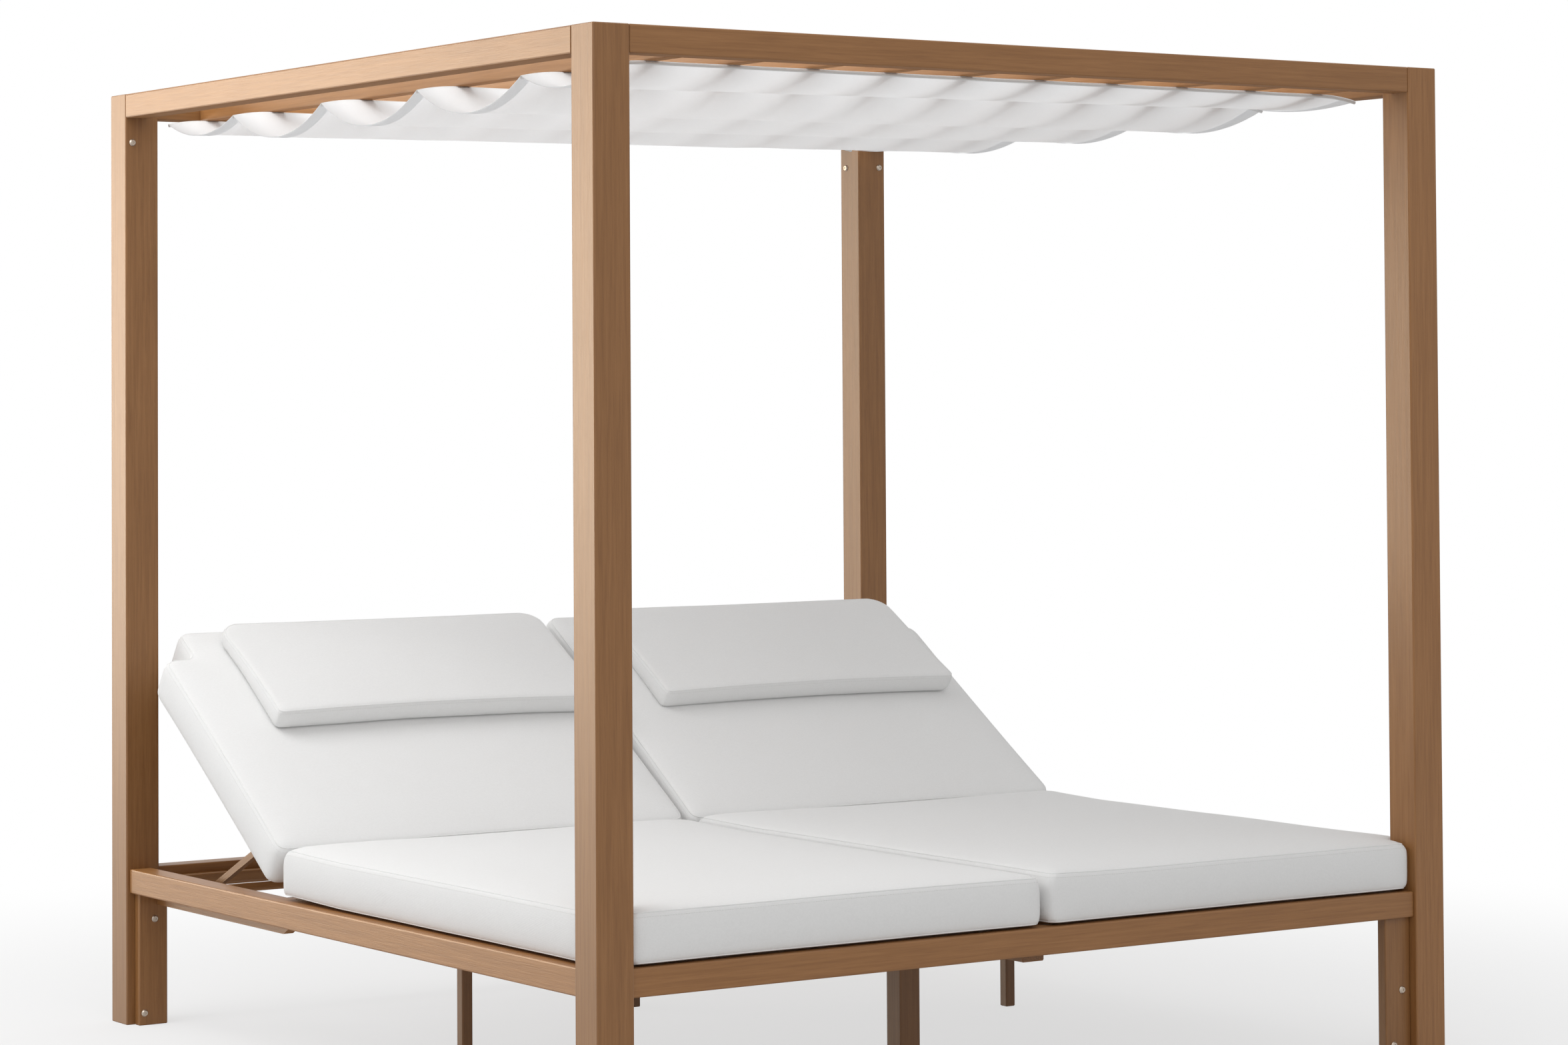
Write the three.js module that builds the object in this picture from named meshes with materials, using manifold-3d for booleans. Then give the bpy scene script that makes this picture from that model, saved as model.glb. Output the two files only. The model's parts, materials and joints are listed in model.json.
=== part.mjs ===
// Outdoor daybed with a slatted roof, a draped cloth canopy and two adjustable backs.
// Millimetres, +Z up. The origin is on the floor, midway between the four posts.
// +X runs across the bed, and +Y runs from the foot to the head. Left is -X.
import * as THREE from 'three';
import { mergeVertices } from 'three/addons/utils/BufferGeometryUtils.js';
import Module from 'manifold-3d';

const wasm = await Module();
wasm.setup();

// Overall size over the posts
const width = 2000;
const depth = 2000;
const height = 1990;

// Gaps, edges and cuts
const jointGap = 0.3;
const softGap = 0.5;
const edgeRound = 3;
const endBevelShare = 0.5;
const overrun = 2;
const roundSteps = 16;

// Posts and top rails
const postSide = 76;
const topRailHigh = 51;
const topRailThick = 51;

// Roof slats
const roofSlatCount = 10;
const roofSlatWide = 32;
const roofSlatHigh = 36;
const roofSlatInset = 152.5;

// Canopy cloth
const canopyThick = 3;
const canopySideGap = 49;
const canopyFootGap = 79;
const canopyHeadGap = 26;
const canopyFootBay = 290;
const canopyHeadBay = 312;
const canopyMiddleBays = 3;
const canopySag = 56;
const canopyFootSag = 30;
const canopyHeadSag = 32;
const canopyEdgeDroop = 10;
const canopyBaySteps = 8;
const canopyAcrossSteps = 8;

// Bed rails, centre beam and legs
const bedRailHigh = 51;
const bedRailThick = 51;
const bedRailInset = 7;
const bedRailTop = 331;
const beamWide = 51;
const beamHigh = 51;
const centreLegSide = 48;
const centreLegFootDistance = 480;
const centreLegHeadDistance = 480;
const narrowLegSide = 24;
const narrowLegPlace = 33;
const legBoardWide = 66;
const legBoardThick = 24;
const legBoardInset = 18;
const frontBoardInset = 19;

// Seat deck and its ledgers
const deckSlatThick = 18;
const deckSlatWide = 60;
const deckSlatCount = 10;
const deckFootGap = 6;
const deckHingeGap = 21;
const deckSeamGap = 1;
const battenWide = 30;
const battenHigh = 22;
const outerBattenPlace = 679;
const innerBattenPlace = 340;
const ledgerThick = 24;
const ledgerHigh = 30;
const headLedgerHigh = 24;
const headLedgerPostGap = 8;

// Hinge line, measured from the head face of the posts
const hingeFromHead = 724;
const hingeDrop = 10.5;
const hingeRodAcross = 10;
const backAngle = 33.5;

// Racks that carry the hinge ears and the notches
const rackThick = 22;
const rackBottom = 255;
const rackTop = 288.5;
const rackEndGap = 0.7;
const earFootReach = 20;
const earHeadReach = 24;
const earRise = 8.5;
const earDrop = 38.5;
const rackEdgeStart = 32;
const notchDeep = 5;
const notchWide = 22;
const firstNotch = 383;
const notchPitch = 33;
const notchCount = 4;

// Back frame
const backFrameThick = 20;
const backFrameLong = 655;
const backFrameTail = 12;
const frameRailWide = 25;
const frameSlatWide = 50;
const frameSlatThick = 12;
const frameSlatCount = 7;
const frameArmGap = 3;

// Prop that holds a back up
const armThick = 12;
const armHigh = 14;
const armRackGap = 3.7;
const propPlace = 190;
const propLong = 292.7;
const propSlope = 24.8;
const propRodAcross = 8;
const propRodStickOut = 1.5;
const propBarSide = 16;
const propBarEndGap = 2;

// Seat cushions
const seatThick = 104;
const seatRound = 30;
const seatCrown = 8;
const seatSideInset = 13;
const seatFootInset = 1;
const seatSeamGap = 3;
const seatHingeGap = 20;
const seatDrawIn = 4;
const postClearance = 2;

// Back cushions, measured up the slope from the hinge, with the back raised.
// The seat cushion pushes them up the slope as the back rises.
const backThick = 100;
const backRound = 34;
const backCrown = 7;
const backStart = 37;
const backEnd = 784;
const backNotchStart = 690;
const backNotchInset = 66;
const backDrawIn = 4;

// Head cushions, measured up the slope from the hinge
const headThick = 54;
const headTopThick = 42;
const headRound = 22;
const headCrown = 10;
const headStart = 400;
const headEnd = 757;
const headWide = 800;
const leftHeadPlace = 445;
const rightHeadPlace = 508;
const headDrawIn = 6;

// Steps of a cushion's mesh
const cushionAcrossSteps = 5;
const cushionAlongSteps = 6;

// Places worked out from the sizes above
const postInnerX = width / 2 - postSide;
const postInnerY = depth / 2 - postSide;
const topRailInnerX = width / 2 - topRailThick;
const topRailInnerY = depth / 2 - topRailThick;
const topRailBottom = height - topRailHigh;
const bedRailOuterX = width / 2 - bedRailInset;
const bedRailOuterY = depth / 2 - bedRailInset;
const bedRailInnerX = bedRailOuterX - bedRailThick;
const bedRailInnerY = bedRailOuterY - bedRailThick;
const bedRailBottom = bedRailTop - bedRailHigh;
const deckBottom = bedRailTop - deckSlatThick;
const beamTop = deckBottom - jointGap;
const beamBottom = beamTop - beamHigh;
const hingeY = depth / 2 - hingeFromHead;
const hingeZ = bedRailTop - hingeDrop;
const deckFootY = deckFootGap - postInnerY;
const deckHeadY = hingeY - deckHingeGap;
const battenBottom = deckBottom - battenHigh;

// Places across one side, from the middle of the bed outwards
const innerRackX = beamWide / 2 + jointGap;
const innerArmX = innerRackX + rackThick + armRackGap;
const innerFrameX = innerArmX + armThick + frameArmGap;
const outerRackX = bedRailInnerX - jointGap;
const outerArmX = outerRackX - rackThick - armRackGap;
const outerFrameX = outerArmX - armThick - frameArmGap;

// Materials
const timber = { color: 0xb98c63, roughness: 0.62, metalness: 0 };
const deckTimber = { color: 0x8f6743, roughness: 0.7, metalness: 0 };
const steel = { color: 0xb9bcc0, roughness: 0.35, metalness: 1 };
const cushionCloth = { color: 0xf1f0ee, roughness: 0.92, metalness: 0 };
const canopyClothLook = { color: 0xe9e8e4, roughness: 0.95, metalness: 0 };

function piece(name, geometry, look) {
  const mesh = new THREE.Mesh(geometry, new THREE.MeshStandardMaterial(look));
  mesh.name = name;
  return mesh;
}

function span(low, high) {
  return { size: high - low, middle: (low + high) / 2 };
}

// A span on one side of the middle: side is -1 for left and 1 for right
function sideSpan(side, inner, outer) {
  return { size: outer - inner, middle: side * (inner + outer) / 2 };
}

// A rectangle with rounded corners, centred on the origin
function roundedSection(wide, high) {
  const x = wide / 2;
  const y = high / 2;
  const shape = new THREE.Shape();
  shape.moveTo(edgeRound - x, -y);
  shape.lineTo(x - edgeRound, -y);
  shape.absarc(x - edgeRound, edgeRound - y, edgeRound, -Math.PI / 2, 0);
  shape.lineTo(x, y - edgeRound);
  shape.absarc(x - edgeRound, y - edgeRound, edgeRound, 0, Math.PI / 2);
  shape.lineTo(edgeRound - x, y);
  shape.absarc(edgeRound - x, y - edgeRound, edgeRound, Math.PI / 2, Math.PI);
  shape.lineTo(-x, edgeRound - y);
  shape.absarc(edgeRound - x, edgeRound - y, edgeRound, Math.PI, Math.PI * 3 / 2);
  return shape;
}

// A planed bar along Z, centred, with rounded edges and eased ends
function barGeometry(wide, high, long) {
  const bevel = edgeRound * endBevelShare;
  const depthBetween = long - bevel * 2;
  const geometry = new THREE.ExtrudeGeometry(roundedSection(wide, high), {
    depth: depthBetween,
    curveSegments: 1,
    bevelThickness: bevel,
    bevelSize: bevel,
    bevelOffset: -bevel,
    bevelSegments: 1,
  });
  geometry.translate(0, 0, -depthBetween / 2);
  return geometry;
}

// A bar that fills three spans and runs along the named axis
function bar(name, axis, x, y, z, look = timber) {
  let geometry;
  if (axis === 'x') {
    geometry = barGeometry(z.size, y.size, x.size);
    geometry.rotateY(Math.PI / 2);
  } else if (axis === 'y') {
    geometry = barGeometry(x.size, z.size, y.size);
    geometry.rotateX(-Math.PI / 2);
  } else {
    geometry = barGeometry(x.size, y.size, z.size);
  }
  const mesh = piece(name, geometry, look);
  mesh.position.set(x.middle, y.middle, z.middle);
  return mesh;
}

// An outline in the Y-Z plane pushed out to both sides along X
function sideProfile(shape, thick) {
  const geometry = new THREE.ExtrudeGeometry(shape, {
    depth: thick,
    curveSegments: roundSteps / 2,
    bevelEnabled: false,
  });
  geometry.translate(0, 0, -thick / 2);
  const towardsY = new THREE.Vector3(0, 1, 0);
  const towardsZ = new THREE.Vector3(0, 0, 1);
  const towardsX = new THREE.Vector3(1, 0, 0);
  geometry.applyMatrix4(new THREE.Matrix4().makeBasis(towardsY, towardsZ, towardsX));
  return geometry;
}

function roundHole(y, z, across) {
  const hole = new THREE.Path();
  hole.absarc(y, z, across / 2, 0, Math.PI * 2, true);
  return hole;
}

function rodGeometry(across, long) {
  const geometry = new THREE.CylinderGeometry(across / 2, across / 2, long, roundSteps);
  geometry.rotateZ(Math.PI / 2);
  return geometry;
}

// Joining and cutting of closed meshes
function solidOf(geometry) {
  const bare = geometry.clone();
  bare.deleteAttribute('normal');
  bare.deleteAttribute('uv');
  const merged = mergeVertices(bare);
  return new wasm.Manifold(new wasm.Mesh({
    numProp: 3,
    vertProperties: new Float32Array(merged.attributes.position.array),
    triVerts: new Uint32Array(merged.index.array),
  }));
}

function geometryOf(solid) {
  const mesh = solid.getMesh();
  const geometry = new THREE.BufferGeometry();
  geometry.setAttribute('position', new THREE.BufferAttribute(mesh.vertProperties, 3));
  geometry.setIndex(new THREE.BufferAttribute(mesh.triVerts, 1));
  geometry.computeVertexNormals();
  return geometry;
}

function blockSolid(x, y, z) {
  const geometry = new THREE.BoxGeometry(x.size, y.size, z.size);
  geometry.translate(x.middle, y.middle, z.middle);
  return solidOf(geometry);
}

function joined(solids) {
  return solids.reduce((whole, next) => whole.add(next));
}

// Posts, top rails and roof slats
function addPosts(group) {
  const z = span(0, height);
  for (const [end, y] of [['foot', -1], ['head', 1]]) {
    for (const [hand, x] of [['left', -1], ['right', 1]]) {
      const across = sideSpan(x, postInnerX, width / 2);
      const along = sideSpan(y, postInnerY, depth / 2);
      group.add(bar(`post_${end}_${hand}`, 'z', across, along, z));
    }
  }
}

function addRailSet(group, name, outer, inner, z) {
  const clearX = postInnerX - jointGap;
  const clearY = postInnerY - jointGap;
  for (const [hand, side] of [['left', -1], ['right', 1]]) {
    const x = sideSpan(side, inner.x, outer.x);
    group.add(bar(`${name}_${hand}`, 'y', x, span(-clearY, clearY), z));
  }
  for (const [end, side] of [['foot', -1], ['head', 1]]) {
    const y = sideSpan(side, inner.y, outer.y);
    group.add(bar(`${name}_${end}`, 'x', span(-clearX, clearX), y, z));
  }
}

function addRoof(group) {
  const outer = { x: width / 2, y: depth / 2 };
  const inner = { x: topRailInnerX, y: topRailInnerY };
  addRailSet(group, 'top_rail', outer, inner, span(topRailBottom, height));
  const clear = topRailInnerY - jointGap;
  const outermost = topRailInnerX - roofSlatInset;
  const pitch = outermost * 2 / (roofSlatCount - 1);
  for (let i = 0; i < roofSlatCount; i += 1) {
    const middle = pitch * i - outermost;
    const x = span(middle - roofSlatWide / 2, middle + roofSlatWide / 2);
    const z = span(topRailBottom, topRailBottom + roofSlatHigh);
    const number = String(i + 1).padStart(2, '0');
    group.add(bar(`roof_slat_${number}`, 'y', x, span(-clear, clear), z));
  }
}

// Bays of the hanging cloth, from the foot: where each starts, how long it is
// and how deep it hangs
function canopyBays() {
  const start = canopyFootGap - topRailInnerY;
  const end = topRailInnerY - canopyHeadGap;
  const middleBay = (end - start - canopyFootBay - canopyHeadBay) / canopyMiddleBays;
  const bays = [{ from: start, long: canopyFootBay, sag: canopyFootSag }];
  for (let i = 0; i < canopyMiddleBays; i += 1) {
    const from = start + canopyFootBay + middleBay * i;
    bays.push({ from, long: middleBay, sag: canopySag });
  }
  bays.push({ from: end - canopyHeadBay, long: canopyHeadBay, sag: canopyHeadSag });
  return bays;
}

// Cloth sheet that hangs in waves under the roof slats, its side edges
// drooping from the crests
function addCanopy(group) {
  const bays = canopyBays();
  const halfWide = topRailInnerX - canopySideGap;
  const steps = bays.length * canopyBaySteps;
  const geometry = new THREE.BoxGeometry(halfWide * 2, steps, canopyThick, canopyAcrossSteps, steps, 1);
  const place = geometry.attributes.position;
  const slatEdge = topRailInnerX - roofSlatInset;
  for (let i = 0; i < place.count; i += 1) {
    const step = Math.round(place.getY(i) + steps / 2);
    const bay = bays[Math.min(Math.floor(step / canopyBaySteps), bays.length - 1)];
    const along = (step - bays.indexOf(bay) * canopyBaySteps) / canopyBaySteps;
    const past = Math.max(Math.abs(place.getX(i)) - slatEdge, 0) / (halfWide - slatEdge);
    const swing = 4 * along * (1 - along);
    const droop = canopyEdgeDroop * past * past * (1 - swing);
    place.setY(i, bay.from + bay.long * along);
    place.setZ(i, place.getZ(i) - bay.sag * swing - droop);
  }
  geometry.computeVertexNormals();
  const cloth = piece('canopy_cloth', geometry, canopyClothLook);
  cloth.position.z = topRailBottom - jointGap - canopyThick / 2;
  group.add(cloth);
}

// Bed rails, centre beam, legs and leg boards
function addBedFrame(group) {
  const outer = { x: bedRailOuterX, y: bedRailOuterY };
  const inner = { x: bedRailInnerX, y: bedRailInnerY };
  addRailSet(group, 'bed_rail', outer, inner, span(bedRailBottom, bedRailTop));
  const beamEnd = bedRailInnerY - jointGap;
  const beamX = span(-beamWide / 2, beamWide / 2);
  group.add(bar('centre_beam', 'y', beamX, span(-beamEnd, beamEnd), span(beamBottom, beamTop)));
}

function addLegs(group) {
  const half = centreLegSide / 2;
  const under = span(0, beamBottom - jointGap);
  const footLeg = centreLegFootDistance - depth / 2;
  const headLeg = depth / 2 - centreLegHeadDistance;
  for (const [end, y] of [['foot', footLeg], ['head', headLeg]]) {
    group.add(bar(`centre_leg_${end}`, 'z', span(-half, half), span(y - half, y + half), under));
  }
  const narrow = narrowLegSide / 2;
  const narrowY = span(narrowLegPlace - narrow, narrowLegPlace + narrow);
  for (const [hand, side] of [['left', -1], ['right', 1]]) {
    const x = sideSpan(side, outerBattenPlace - narrow, outerBattenPlace + narrow);
    const z = span(0, battenBottom - jointGap);
    group.add(bar(`narrow_leg_${hand}`, 'z', x, narrowY, z));
  }
}

// Boards bolted to the posts, standing under the rail ends. The one at the
// right foot post stands under the foot rail, the others under the side rails.
function addLegBoards(group) {
  const z = span(0, bedRailBottom - jointGap);
  const outerX = width / 2 - legBoardInset;
  const innerX = outerX - legBoardWide;
  const nearPost = postInnerY - jointGap;
  const farSide = nearPost - legBoardThick;
  for (const [name, side, end] of [['foot_left', -1, -1], ['head_left', -1, 1], ['head_right', 1, 1]]) {
    const x = sideSpan(side, innerX, outerX);
    group.add(bar(`leg_board_${name}`, 'z', x, sideSpan(end, farSide, nearPost), z));
  }
  const besidePost = postInnerX - jointGap;
  const x = span(besidePost - legBoardWide, besidePost);
  const footFace = frontBoardInset - depth / 2;
  group.add(bar('leg_board_foot_right', 'z', x, span(footFace, footFace + legBoardThick), z));
}

// One half of the seat deck: slats across, on two battens
function deckSolid(side) {
  const pitch = (deckHeadY - deckFootY - deckSlatWide) / (deckSlatCount - 1);
  const across = sideSpan(side, deckSeamGap, bedRailInnerX - jointGap);
  const solids = [];
  for (let i = 0; i < deckSlatCount; i += 1) {
    const from = deckFootY + pitch * i;
    solids.push(blockSolid(across, span(from, from + deckSlatWide), span(deckBottom, bedRailTop)));
  }
  for (const middle of [outerBattenPlace, innerBattenPlace]) {
    const x = sideSpan(side, middle - battenWide / 2, middle + battenWide / 2);
    solids.push(blockSolid(x, span(deckFootY, deckHeadY), span(battenBottom, deckBottom + overrun)));
  }
  return joined(solids);
}

function addSeatDeck(group, hand, side) {
  group.add(piece(`seat_deck_${hand}`, geometryOf(deckSolid(side)), deckTimber));
  const outer = bedRailInnerX - jointGap;
  const x = sideSpan(side, outer - ledgerThick, outer);
  const top = deckBottom - jointGap;
  const y = span(jointGap - postInnerY, deckHeadY - overrun);
  group.add(bar(`side_ledger_${hand}`, 'y', x, y, span(top - ledgerHigh, top), deckTimber));
}

// Ledger on the head rail, where a back lies when it is down
function addHeadLedger(group, hand, side) {
  const top = hingeZ + hingeDrop - backFrameThick - jointGap;
  const face = bedRailInnerY - jointGap;
  const x = sideSpan(side, beamWide / 2 + jointGap, postInnerX - headLedgerPostGap);
  const y = span(face - ledgerThick, face);
  group.add(bar(`head_ledger_${hand}`, 'x', x, y, span(top - headLedgerHigh, top), deckTimber));
}

// Rack outline, measured from the hinge line: an ear with a bore and a cut
// lower corner, then a level top with shallow notches for the prop's bar
function rackShape() {
  const boardFace = postInnerY - legBoardThick - jointGap;
  const end = boardFace - rackEndGap - hingeY;
  const bottom = rackBottom - hingeZ;
  const top = rackTop - hingeZ;
  const shape = new THREE.Shape();
  shape.moveTo(-earFootReach, -earDrop);
  shape.lineTo(rackEdgeStart, bottom);
  shape.lineTo(end, bottom);
  shape.lineTo(end, top);
  for (let i = notchCount - 1; i >= 0; i -= 1) {
    const middle = firstNotch + notchPitch * i;
    shape.lineTo(middle + notchWide / 2, top);
    shape.lineTo(middle, top - notchDeep);
    shape.lineTo(middle - notchWide / 2, top);
  }
  shape.lineTo(earHeadReach, top);
  shape.lineTo(earHeadReach, earRise);
  shape.lineTo(-earFootReach, earRise);
  shape.holes.push(roundHole(0, 0, hingeRodAcross + jointGap * 2));
  return shape;
}

function addHingeLine(group, hand, side) {
  const outer = ['outer', outerRackX - rackThick, outerRackX];
  const inner = ['inner', innerRackX, innerRackX + rackThick];
  for (const [where, from, to] of [outer, inner]) {
    const rack = piece(`rack_${hand}_${where}`, sideProfile(rackShape(), rackThick), deckTimber);
    rack.position.set(sideSpan(side, from, to).middle, hingeY, hingeZ);
    group.add(rack);
  }
  const across = sideSpan(side, innerRackX, outerRackX);
  const rod = piece(`hinge_rod_${hand}`, rodGeometry(hingeRodAcross, across.size), steel);
  rod.position.set(across.middle, hingeY, hingeZ);
  group.add(rod);
}

// Back frame, about the hinge: two side rails with flat slats let in between,
// any slat over the prop rod being grooved for it
function backFrameSolid(side) {
  const top = hingeDrop;
  const bottom = top - backFrameThick;
  const rail = new THREE.Shape();
  rail.moveTo(-backFrameTail, bottom);
  rail.lineTo(backFrameLong, bottom);
  rail.lineTo(backFrameLong, top);
  rail.lineTo(-backFrameTail, top);
  rail.holes.push(roundHole(0, 0, hingeRodAcross + jointGap * 2));
  rail.holes.push(roundHole(propPlace, 0, propRodAcross + jointGap * 2));
  const solids = [];
  const innerFace = innerFrameX + frameRailWide;
  const outerFace = outerFrameX - frameRailWide;
  for (const [from, to] of [[innerFrameX, innerFace], [outerFace, outerFrameX]]) {
    const geometry = sideProfile(rail, frameRailWide);
    geometry.translate(sideSpan(side, from, to).middle, 0, 0);
    solids.push(solidOf(geometry));
  }
  const pastBores = hingeRodAcross + backFrameTail;
  const pitch = (backFrameLong - pastBores - frameSlatWide) / (frameSlatCount - 1);
  for (let i = 0; i < frameSlatCount; i += 1) {
    const from = pastBores + pitch * i;
    const y = span(from, from + frameSlatWide);
    const z = span(top - frameSlatThick, top);
    solids.push(blockSolid(sideSpan(side, innerFace - overrun, outerFace + overrun), y, z));
  }
  const rodRoom = propRodAcross / 2 + jointGap;
  const groove = blockSolid(
    sideSpan(side, innerFace, outerFace),
    span(propPlace - rodRoom, propPlace + rodRoom),
    span(bottom, rodRoom),
  );
  return joined(solids).subtract(groove);
}

// Prop arm outline, about the prop rod
function armShape() {
  const half = armHigh / 2;
  const end = propLong - propBarSide / 2 - jointGap;
  const shape = new THREE.Shape();
  shape.moveTo(0, -half);
  shape.lineTo(end, -half);
  shape.lineTo(end, half);
  shape.lineTo(0, half);
  shape.absarc(0, 0, half, Math.PI / 2, Math.PI * 3 / 2);
  shape.holes.push(roundHole(0, 0, propRodAcross + jointGap * 2));
  return shape;
}

function propGroup(hand, side) {
  const group = new THREE.Group();
  group.position.set(0, propPlace, 0);
  group.rotation.x = -THREE.MathUtils.degToRad(propSlope + backAngle);
  const outer = ['outer', outerArmX - armThick, outerArmX];
  const inner = ['inner', innerArmX, innerArmX + armThick];
  for (const [where, from, to] of [outer, inner]) {
    const arm = piece(`prop_arm_${hand}_${where}`, sideProfile(armShape(), armThick), timber);
    arm.position.x = sideSpan(side, from, to).middle;
    group.add(arm);
  }
  const half = propBarSide / 2;
  const barX = sideSpan(side, innerRackX + propBarEndGap, outerRackX - propBarEndGap);
  group.add(bar(`prop_bar_${hand}`, 'x', barX, span(propLong - half, propLong + half), span(-half, half)));
  return group;
}

// Places along one edge of a cushion: a few in each rounded zone, then even steps
function edgePlaces(half, round, steps) {
  const flat = half - round;
  const turn = round * Math.tan(Math.PI / 8);
  const places = [-half, -flat - turn];
  for (let i = 0; i <= steps; i += 1) {
    places.push(flat * (2 * i / steps - 1));
  }
  places.push(flat + turn, half);
  return places;
}

function bulge(share) {
  return 1 - Math.min(share * share, 1);
}

// A filled cushion on its flat underside: rounded edges, a crowned top, and
// sides drawn in between the corners
function cushionGeometry({ wide, long, thick, round, crown, drawIn }) {
  const half = new THREE.Vector3(wide / 2, long / 2, thick / 2);
  const xs = edgePlaces(half.x, round, cushionAcrossSteps);
  const ys = edgePlaces(half.y, round, cushionAlongSteps);
  const zs = edgePlaces(half.z, round, 1);
  const geometry = new THREE.BoxGeometry(1, 1, 1, xs.length - 1, ys.length - 1, zs.length - 1);
  const place = geometry.attributes.position;
  const core = half.clone().subScalar(round);
  const point = new THREE.Vector3();
  const inside = new THREE.Vector3();
  for (let i = 0; i < place.count; i += 1) {
    point.x = xs[Math.round((place.getX(i) + 1 / 2) * (xs.length - 1))];
    point.y = ys[Math.round((place.getY(i) + 1 / 2) * (ys.length - 1))];
    point.z = zs[Math.round((place.getZ(i) + 1 / 2) * (zs.length - 1))];
    inside.copy(point).clamp(core.clone().negate(), core);
    point.sub(inside).setLength(round).add(inside);
    const bulgeX = bulge(point.x / half.x);
    const bulgeY = bulge(point.y / half.y);
    point.x -= Math.sign(point.x) * drawIn * bulgeY * Math.abs(point.x) / half.x;
    point.y -= Math.sign(point.y) * drawIn * bulgeX * Math.abs(point.y) / half.y;
    point.z += half.z + crown * bulgeX * bulgeY * (point.z + half.z) / thick;
    place.setXYZ(i, point.x, point.y, point.z);
  }
  geometry.computeVertexNormals();
  return geometry;
}

// Seat cushion with a corner cut out round the foot post
function seatCushion(hand, side) {
  const x = sideSpan(side, seatSeamGap, bedRailOuterX - seatSideInset);
  const y = span(seatFootInset - bedRailOuterY, hingeY - seatHingeGap);
  const geometry = cushionGeometry({
    wide: x.size, long: y.size, thick: seatThick, round: seatRound, crown: seatCrown, drawIn: seatDrawIn,
  });
  geometry.translate(x.middle, y.middle, 0);
  const cutX = sideSpan(side, postInnerX - postClearance, width / 2);
  const cutY = sideSpan(-1, postInnerY - postClearance, depth / 2);
  const cut = blockSolid(cutX, cutY, span(-overrun, seatThick + overrun));
  const cushion = piece(`seat_cushion_${hand}`, geometryOf(solidOf(geometry).subtract(cut)), cushionCloth);
  cushion.position.z = bedRailTop + jointGap;
  return cushion;
}

// Back cushion, about the hinge, with a corner cut out to pass the head post
function backCushion(hand, side) {
  const outer = bedRailOuterX - seatSideInset;
  const x = sideSpan(side, seatSeamGap, outer);
  const y = span(backStart, backEnd);
  const geometry = cushionGeometry({
    wide: x.size, long: y.size, thick: backThick, round: backRound, crown: backCrown, drawIn: backDrawIn,
  });
  geometry.translate(x.middle, y.middle, 0);
  const cutX = sideSpan(side, outer - backNotchInset, width / 2);
  const cutY = span(backNotchStart, backEnd + overrun);
  const cut = blockSolid(cutX, cutY, span(-overrun, backThick + overrun));
  const cushion = piece(`back_cushion_${hand}`, geometryOf(solidOf(geometry).subtract(cut)), cushionCloth);
  cushion.position.z = hingeDrop + jointGap;
  return cushion;
}

// Head cushion that lies on the upper part of the back cushion, follows its
// crown and thins towards its top end
function headCushion(hand, side) {
  const middle = side * (side < 0 ? leftHeadPlace : rightHeadPlace);
  const y = span(headStart, headEnd);
  const geometry = cushionGeometry({
    wide: headWide, long: y.size, thick: headThick, round: headRound, crown: headCrown, drawIn: headDrawIn,
  });
  geometry.translate(middle, y.middle, 0);
  const back = sideSpan(side, seatSeamGap, bedRailOuterX - seatSideInset);
  const backAlong = span(backStart, backEnd);
  const place = geometry.attributes.position;
  for (let i = 0; i < place.count; i += 1) {
    const acrossShare = (place.getX(i) - back.middle) * 2 / back.size;
    const alongShare = (place.getY(i) - backAlong.middle) * 2 / backAlong.size;
    const thin = (1 - headTopThick / headThick) * (place.getY(i) - y.middle + y.size / 2) / y.size;
    const lift = backCrown * bulge(acrossShare) * bulge(alongShare);
    place.setZ(i, place.getZ(i) * (1 - thin) + lift);
  }
  const cushion = piece(`head_cushion_${hand}`, geometry, cushionCloth);
  cushion.position.z = hingeDrop + jointGap + backThick + softGap;
  return cushion;
}

// Everything that turns on one hinge line, raised to the angle in the photograph
function backGroup(hand, side) {
  const group = new THREE.Group();
  group.position.set(0, hingeY, hingeZ);
  group.rotation.x = THREE.MathUtils.degToRad(backAngle);
  group.add(piece(`back_frame_${hand}`, geometryOf(backFrameSolid(side)), timber));
  const rodX = sideSpan(side, innerArmX - propRodStickOut, outerArmX + propRodStickOut);
  const rod = piece(`prop_rod_${hand}`, rodGeometry(propRodAcross, rodX.size), steel);
  rod.position.set(rodX.middle, propPlace, 0);
  group.add(rod);
  group.add(backCushion(hand, side), headCushion(hand, side), propGroup(hand, side));
  return group;
}

const daybed = new THREE.Group();
addPosts(daybed);
addRoof(daybed);
addCanopy(daybed);
addBedFrame(daybed);
addLegs(daybed);
addLegBoards(daybed);
for (const [hand, side] of [['left', -1], ['right', 1]]) {
  addSeatDeck(daybed, hand, side);
  addHeadLedger(daybed, hand, side);
  addHingeLine(daybed, hand, side);
  daybed.add(seatCushion(hand, side), backGroup(hand, side));
}

export default daybed;
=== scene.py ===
# %% [markdown]
# # An outdoor daybed with a cloth canopy
# The daybed is a square timber frame with four corner posts, a slatted roof with a
# cloth hung under it in waves, and two sets of cushions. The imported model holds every
# timber at its real size, so this script never moves one. It dresses the model: it
# gives the timber its grain, fills the cushions, hangs the cloth and drives the screws.

# %% Load the frame
import json
import math
import bmesh
import bpy
import numpy as np
from mathutils import Matrix, Vector, noise


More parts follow.
